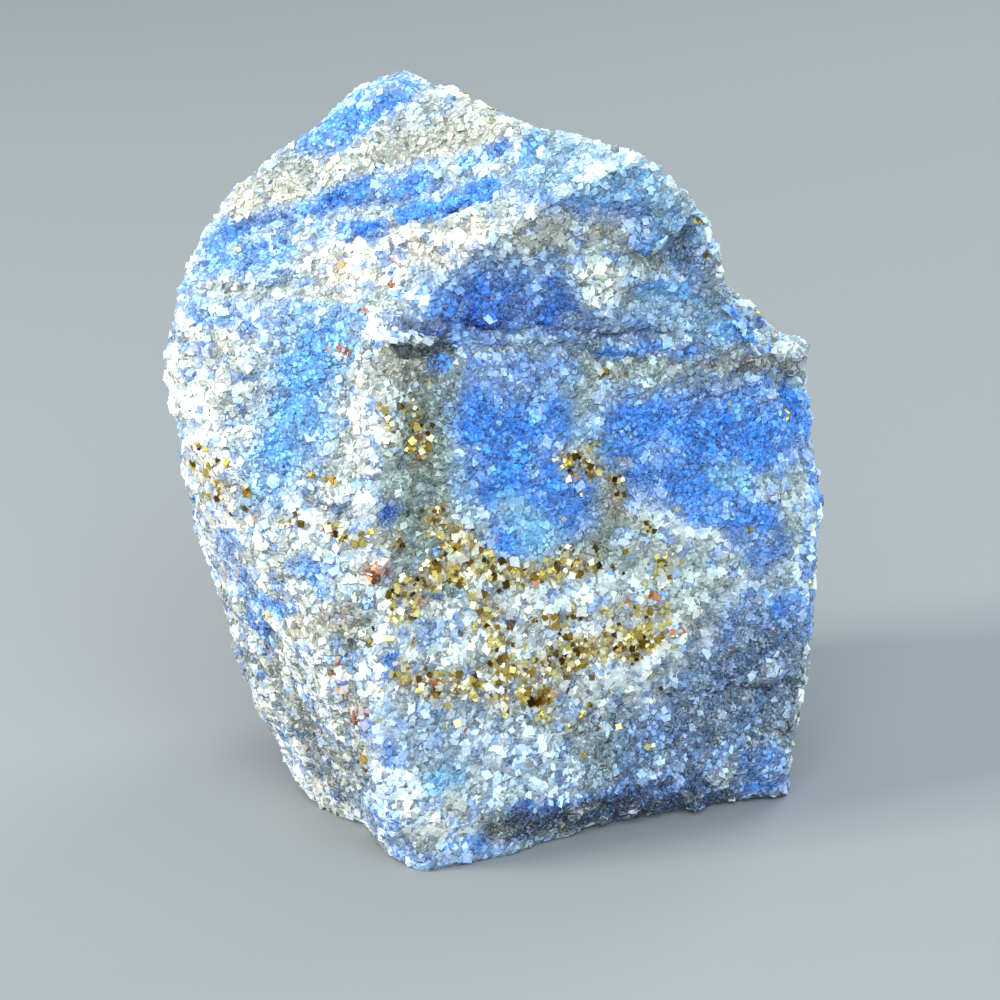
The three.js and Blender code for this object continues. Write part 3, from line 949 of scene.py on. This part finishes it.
thrown, thrown_normals, thrown_near = throw_points(skin, THROWS)
kept = keep_apart(thrown, CRYSTAL_SPACING)
kept = kept[thrown[kept, 2] > FOOT_CLEARANCE]
sites, site_normals, site_near = thrown[kept], thrown_normals[kept], thrown_near[kept]
print("crystal sites:", len(sites))

# %% [markdown]
# ## Which crystal grows where
# Each site draws its mineral like a lot, with the mineral map as the odds. So a blue patch still has
# pale grains in it, and a white one a few blue ones, as sugary rock has. Each crystal then draws its
# own colour between the darkest and the lightest of its kind. Light passes through the thin edges of
# the crystals and mixes there, so a crystal shares most of its hue with its surroundings and keeps
# most of its own brightness.

# %% Choose minerals
LOT_SQUEEZE = 1.5
HUE_SHARED = 0.86
LIGHT_SHARED, LIGHT_SHARED_COARSE = 0.50, 0.30
COARSE_CONTRAST = 0.9
CALM_TONE, CALM_LEAN = 0.80, 0.55
SHADE_DARKENING, MOTTLED = 0.75, 0.46
BRIGHTEST = 0.96
EYE_WEIGHTS = np.array([0.2126, 0.7152, 0.0722])

site_map = bruised_and_shaded(minerals(sites, site_normals), skin_bulge[site_near])
count = len(sites)


def lots(size, seed, luck=0.13):
    """Lots from 0 to 1 that neighbours tend to share, so crystals gather in wisps of that size."""
    drawn = cloud(along_beds(sites, LOT_SQUEEZE), size, seed, 2) + luck * dice.normal(size=count)
    return np.argsort(np.argsort(drawn)) / count


def odds(base, **weights):
    """The base odds plus each share of the mineral map times its weight."""
    return base + sum(weight * site_map[name.replace("_", " ")] for name, weight in weights.items())


def shades(*hex_codes):
    """A function that turns tones from 0 to 1 into colours along a row of shades."""
    stops = np.array([linear(code)[:3] for code in hex_codes])
    marks = np.linspace(0, 1, len(stops))
    return lambda tones: np.stack([np.interp(tones, marks, stops[:, i]) for i in range(3)], axis=1)


def brightness(colours):
    """How bright each row looks to the eye."""
    return colours @ EYE_WEIGHTS


lot_gold, lot_rust, lot_blue = lots(0.8, 51, 0.09), lots(0.7, 52), lots(1.1, 53, 0.16)
lot_deep, lot_white, lot_green = lots(0.9, 54), lots(1.2, 55, 0.16), lots(1.6, 56)
coarseness = site_map["coarse"]
tone = 0.5 + (lots(0.6, 57, 0.25) - 0.5) * (CALM_TONE + (1 - CALM_TONE) * coarseness)
sparkle = dice.random(count)

is_gold = lot_gold < odds(0.001, gold=0.90)
is_rust = ~is_gold & (lot_rust < odds(0.0004, rust=0.45, gold=0.05))
is_blue = ~is_gold & ~is_rust & (lot_blue < odds(0.07, blue=0.93))
is_royal = is_blue & (lot_deep < odds(0.10, blue=0.68, pale_blue=-0.45, navy=0.5))
is_azure = is_blue & ~is_royal
is_calcite = ~(is_gold | is_rust | is_blue)
# Painted shade also lowers the odds of pale grains.
is_pale = is_calcite & (lot_white < odds(0.42, white=0.45, grey=-0.42, dark=-0.5))
is_cream = is_pale & (lot_green < site_map["warm"])
is_white = is_pale & ~is_cream
is_green = is_calcite & ~is_pale & (lot_green < odds(0.16, olive=0.7))
is_grey = is_calcite & ~is_pale & ~is_green

royal = shades("#1142a8", "#2068e0", "#3c94f8", "#70b8fc")
navy = shades("#12206a", "#1d3f9c", "#2f62c0")
azure = shades("#3a92f0", "#68b8f9", "#b0e4fe")
snow = shades("#bccdd3", "#dde9eb", "#f8fcfc")
cream = shades("#d6c4a4", "#f2e4ca", "#fff6e4")
ash = shades("#3f4d50", "#84979c", "#c6d6d9")
olive = shades("#3a4436", "#7f9079", "#bccab2")
tan = shades("#7a6749", "#a58e68", "#cdb892")
gold = shades("#37260f", "#a88436", "#f2dc84", "#fff2b4", "#fffbe2")
rust = shades("#4a2410", "#a8552a", "#e0a070")

tints = snow(tone)
for chosen, row in ((is_cream, cream), (is_green, olive), (is_azure, azure)):
    tints[chosen] = row(tone)[chosen]
tints[is_grey] = mix(ash(tone), tan(tone), odds(0.12, warm=0.7))[is_grey]
tints[is_royal] = mix(royal(tone), navy(tone), site_map["navy"])[is_royal]

around = broad_colour(site_map)
light_shared = LIGHT_SHARED + (LIGHT_SHARED_COARSE - LIGHT_SHARED) * coarseness
aim = brightness(tints) ** (1 - light_shared) * brightness(around) ** light_shared
shared_hue = around * (aim / brightness(around))[:, None]
own_hue = tints * (aim / brightness(tints))[:, None]
# Painted shade from the shade strokes, painted highlight and shade from ridges and hollows, and random
# mottling.
shading = (1 - SHADE_DARKENING * site_map["dark"]) * (1 + MOTTLED * site_map["mottle"]) * site_map["light"]
shading *= 1 + COARSE_CONTRAST * coarseness * (tone - 0.5)
tints = own_hue + (shared_hue - own_hue) * HUE_SHARED
tints = np.clip(tints * shading[:, None], 0, BRIGHTEST)
tints[is_gold] = gold(sparkle)[is_gold]
tints[is_rust] = rust(tone)[is_rust]
print("blue crystals:", int(is_blue.sum()), "and gold ones:", int(is_gold.sum()))

# %% [markdown]
# ## Growing the crystals
# Copying a Blender object sixty thousand times would be slow, so all crystals of one mineral become
# one mesh. NumPy turns, stretches and places the template's points for all sites at once.
#
# The grains of a real rock are locked into each other with no gaps. So each crystal is wider than
# the spacing and sits deep in the rock, and only a tilted facet of it looks out. Each leans its own
# way, by up to about 30 degrees where the grain is coarse and about half of that where the break is
# smooth. These leans make a fresh break glitter.

# %% Grow
FACE_LIMIT = 199_000
BED_STRETCH = 0.45
SIZE_LIMITS = (0.6, 1.8)


def frames_on(normals):
    """For each normal, a turn that lifts Z onto it, spun at random about it."""
    random_way = dice.normal(size=normals.shape)
    side = np.cross(random_way, normals)
    side /= np.linalg.norm(side, axis=1)[:, None]
    return np.stack([side, np.cross(normals, side), normals], axis=2)


def turned(degrees, axis):
    """A rotation matrix for each angle, about X for axis 0 and about Z for axis 2."""
    first, second = [other for other in range(3) if other != axis]
    angles = np.radians(degrees)
    matrices = np.zeros((len(angles), 3, 3))
    matrices[:, axis, axis] = 1
    matrices[:, first, first] = matrices[:, second, second] = np.cos(angles)
    matrices[:, second, first] = np.sin(angles)
    matrices[:, first, second] = -np.sin(angles)
    return matrices


def joined_mesh(name, points, corners, sides):
    """A flat-shaded mesh of points in mm, from a row of corners and each face's number of sides."""
    mesh = bpy.data.meshes.new(name)
    mesh.vertices.add(len(points))
    mesh.vertices.foreach_set("co", (points * MM).ravel())
    mesh.loops.add(len(corners))
    mesh.loops.foreach_set("vertex_index", corners.astype(np.int32))
    mesh.polygons.add(len(sides))
    mesh.polygons.foreach_set("loop_start", (np.cumsum(sides) - sides).astype(np.int32))
    mesh.update(calc_edges=True)
    mesh.shade_flat()
    mesh.calc_loop_triangles()
    return mesh


def grow(name, chosen, templates, size, depth, lean, finish):
    """One object with a crystal at each chosen site. Size and depth are a middle in mm and a spread."""
    here = np.flatnonzero(chosen)
    spins = turned(dice.uniform(0, 360, len(here)), 2)
    upright = frames_on(site_normals[here])
    lean_here = lean * (CALM_LEAN + (1 - CALM_LEAN) * coarseness[here])
    turns = upright @ turned(np.abs(dice.normal(0, lean_here)), 0) @ spins
    sizes = dice.lognormal(np.log(size[0]), size[1], len(here))
    sizes = np.clip(sizes, SIZE_LIMITS[0] * size[0], SIZE_LIMITS[1] * size[0])
    centres = sites[here] - site_normals[here] * dice.normal(*depth, len(here))[:, None]
    kinds = dice.integers(len(templates), size=len(here))
    stretch = BED_STRETCH * np.cross(site_normals[here], BED_NORMAL)
    all_points, all_tints, all_corners, all_sides = [], [], [], []
    used = 0
    for kind, (points, faces) in enumerate(templates):
        mine = np.flatnonzero(kinds == kind)
        placed = np.einsum("nij,vj->nvi", turns[mine], points) * sizes[mine][:, None, None]
        drawn_out = np.einsum("nvi,ni->nv", placed, stretch[mine])
        placed += drawn_out[:, :, None] * stretch[mine][:, None]
        placed += centres[mine][:, None]
        all_points.append(placed.reshape(-1, 3))
        all_tints.append(np.repeat(tints[here[mine]], len(points), axis=0))
        firsts = used + len(points) * np.arange(len(mine))
        all_corners.append((firsts[:, None] + np.concatenate(faces)).ravel())
        all_sides.append(np.tile([len(face) for face in faces], len(mine)))
        used += len(placed) * len(points)
    points = np.concatenate(all_points)
    points[:, 2] = np.maximum(points[:, 2], 0)
    mesh = joined_mesh(name, points, np.concatenate(all_corners), np.concatenate(all_sides))
    assert len(mesh.loop_triangles) < FACE_LIMIT, name
    store_colour(mesh, "tint", np.concatenate(all_tints))
    mesh.materials.append(finish)
    grown = bpy.data.objects.new(name, mesh)
    scene.collection.objects.link(grown)
    print(name, len(here), "crystals,", len(mesh.loop_triangles), "triangles")
    return grown


# %% [markdown]
# ## Crystal finishes
# Calcite has a glassy shine on its cleavage faces, with a refractive index near 1.6, and its colour is
# milky because light scatters inside. Lazurite is duller and greasier, index 1.5. Pyrite is a metal
# to the eye: brassy gold, with a brown tarnish in places. All of them are bruised where the stone
# broke, which leaves a fine pale frost on blue and grey grains.

# %% Crystal materials
FROST_SIZE = 0.20
FROST_SPOTS, GLOSS_SPOTS = (0.48, 0.66), (0.3, 0.7)
DENT_STRENGTH, DENT_DEPTH = 0.3, 0.05
CALCITE_GLOSS, LAZURITE_GLOSS, PYRITE_GLOSS, STAINED_GLOSS = (0.3, 0.6), (0.4, 0.7), (0.35, 0.6), (0.4, 0.8)


def grain_material(name, ior, roughness, frost_share, frost_colour, metallic=0.0):
    """A crystal finish: the crystal's own tint, frosted in spots, with faint dents."""
    material, tree, shader = new_material(name)
    coordinates = node(tree, "TexCoord").outputs["Object"]
    tint = node(tree, "Attribute", attribute_name="tint").outputs["Color"]
    spot_inputs = {"Vector": coordinates, "Scale": 1 / (FROST_SIZE * MM), "Detail": 2.0}
    spots = node(tree, "TexNoise", spot_inputs).outputs[0]
    frost = remap(tree, spots, *FROST_SPOTS, 0.0, frost_share)
    frosted = blend(tree, frost, tint, linear(frost_colour))
    gloss = remap(tree, spots, *GLOSS_SPOTS, *roughness)
    dent_inputs = {"Height": spots, "Strength": DENT_STRENGTH, "Distance": DENT_DEPTH * MM}
    dents = node(tree, "Bump", dent_inputs).outputs[0]
    tree.links.new(frosted, shader.inputs["Base Color"])
    tree.links.new(gloss, shader.inputs["Roughness"])
    tree.links.new(dents, shader.inputs["Normal"])
    shader.inputs["Metallic"].default_value = metallic
    if not metallic:
        shader.inputs["IOR"].default_value = ior
    return material


# %% Crystals of each mineral
# Each row has where the mineral grows, its templates, and the finish's name, refractive index,
# roughness, share of frost and colour of frost.
STONY = ((0.41, 0.20), (0.160, 0.025), 15)
METALLIC = ((0.32, 0.30), (0.05, 0.05), 60)
KINDS = {
    "white_calcite": (is_white, RHOMBS, "milky_calcite", 1.6, CALCITE_GLOSS, 0.5, "#ffffff"),
    "cream_calcite": (is_cream, RHOMBS, "cream_calcite", 1.6, CALCITE_GLOSS, 0.4, "#fff8ec"),
    "grey_calcite": (is_grey, RHOMBS, "grey_calcite", 1.6, CALCITE_GLOSS, 0.5, "#e6f2f4"),
    "green_diopside": (is_green, PRISMS, "grey_green_diopside", 1.67, CALCITE_GLOSS, 0.4, "#d5e0d6"),
    "royal_lazurite": (is_royal, CHIPS, "royal_blue_lazurite", 1.5, LAZURITE_GLOSS, 0.4, "#9fd0fb"),
    "azure_lazurite": (is_azure, CHIPS, "azure_lazurite", 1.5, LAZURITE_GLOSS, 0.4, "#d2eefd"),
    "pyrite_cubes": (is_gold, CUBES, "brassy_pyrite", 1.5, PYRITE_GLOSS, 0.25, "#6b4a1c"),
    "rusty_calcite": (is_rust, RHOMBS, "iron_stained_calcite", 1.6, STAINED_GLOSS, 0.3, "#f2cfa4"),
}
crystals = []
for name, (chosen, templates, *finish_values) in KINDS.items():
    is_metal = name == "pyrite_cubes"
    finish = grain_material(*finish_values, metallic=float(is_metal))
    build = METALLIC if is_metal else STONY
    crystals.append(grow(name, chosen, templates, *build, finish))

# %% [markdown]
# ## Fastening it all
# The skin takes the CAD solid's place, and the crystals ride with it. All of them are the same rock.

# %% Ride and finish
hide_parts("lapis_lazuli")
for piece in (stone, *crystals):
    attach(piece, "root")
